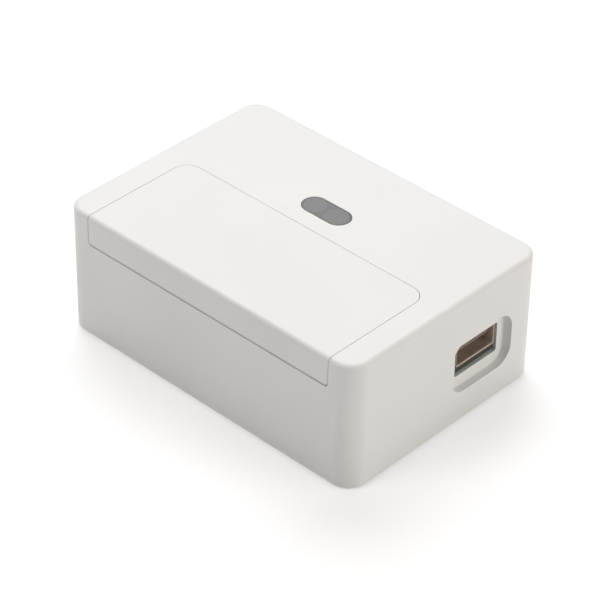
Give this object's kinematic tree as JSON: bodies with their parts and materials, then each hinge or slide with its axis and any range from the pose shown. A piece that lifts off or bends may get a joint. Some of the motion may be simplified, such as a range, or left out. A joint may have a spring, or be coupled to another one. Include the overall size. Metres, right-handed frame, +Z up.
{
  "type": "lidar presence sensor",
  "caption": "Free-standing lidar presence sensor: a rounded box with an upward window, an L-shaped access cover over a battery bay, a setup button and a recessed power receptacle.",
  "frame": {"origin": "centre of the footprint, on the plane of the rubber feet", "axes": "+X along the length towards the port end, +Y towards the back, away from the front edge that the cover wraps over, +Z up through the sensor window"},
  "size_m": [0.09, 0.063, 0.0344],
  "materials": {
    "white_case": "fine satin texture",
    "base_white": "satin",
    "foot_rubber": "matte",
    "screw_steel": "satin",
    "window_tint": "semi-gloss",
    "gasket_foam": "matte",
    "module_black": "matte",
    "lens_glass": "polished",
    "board_green": "solder mask",
    "shield_can": "satin",
    "chip_black": "matte",
    "can_aluminium": "satin",
    "port_steel": "satin",
    "port_insulator": "matte",
    "contact_gold": "plated",
    "ribbon_film": "semi-gloss",
    "socket_white": "matte",
    "button_grey": "satin",
    "cell_sleeve": "semi-gloss",
    "contact_steel": "plated"
  },
  "bodies": {
    "housing": {"upper_housing": "white_case", "base_cover": "base_white", "rubber_feet": "foot_rubber", "housing_screws": "screw_steel", "main_board_screws": "screw_steel", "lidar_board_screws": "screw_steel", "sensor_window": "window_tint", "window_gasket": "gasket_foam", "lidar_module": "module_black", "emitter_lens": "lens_glass", "receiver_lens": "lens_glass", "lidar_board": "board_green", "main_board": "board_green", "radio_board": "board_green", "radio_shield": "shield_can", "processor": "chip_black", "power_inductor": "chip_black", "power_regulator": "chip_black", "power_capacitors": "can_aluminium", "usb_shell": "port_steel", "usb_tongue": "port_insulator", "usb_contacts": "contact_gold", "sensor_ribbon": "ribbon_film", "ribbon_sockets": "socket_white", "switch_base": "chip_black", "front_cell": "cell_sleeve", "rear_cell": "cell_sleeve", "bridge_contact": "contact_steel", "positive_contact": "contact_steel", "negative_contact": "contact_steel", "cell_springs": "contact_steel"},
    "access_cover": {"access_cover": "white_case"},
    "setup_button": {"setup_button": "button_grey", "switch_plunger": "module_black"}
  },
  "joints": [
    {"name": "cover_slide", "type": "slide", "parent": "housing", "child": "access_cover", "axis": [0, -1, 0], "range_m": [0, 0.034]},
    {"name": "button_press", "type": "slide", "parent": "housing", "child": "setup_button", "axis": [0, 0, -1], "range_m": [0, 0.0003], "stiffness_N_per_m": 2000, "springref_m": -0.0002}
  ]
}
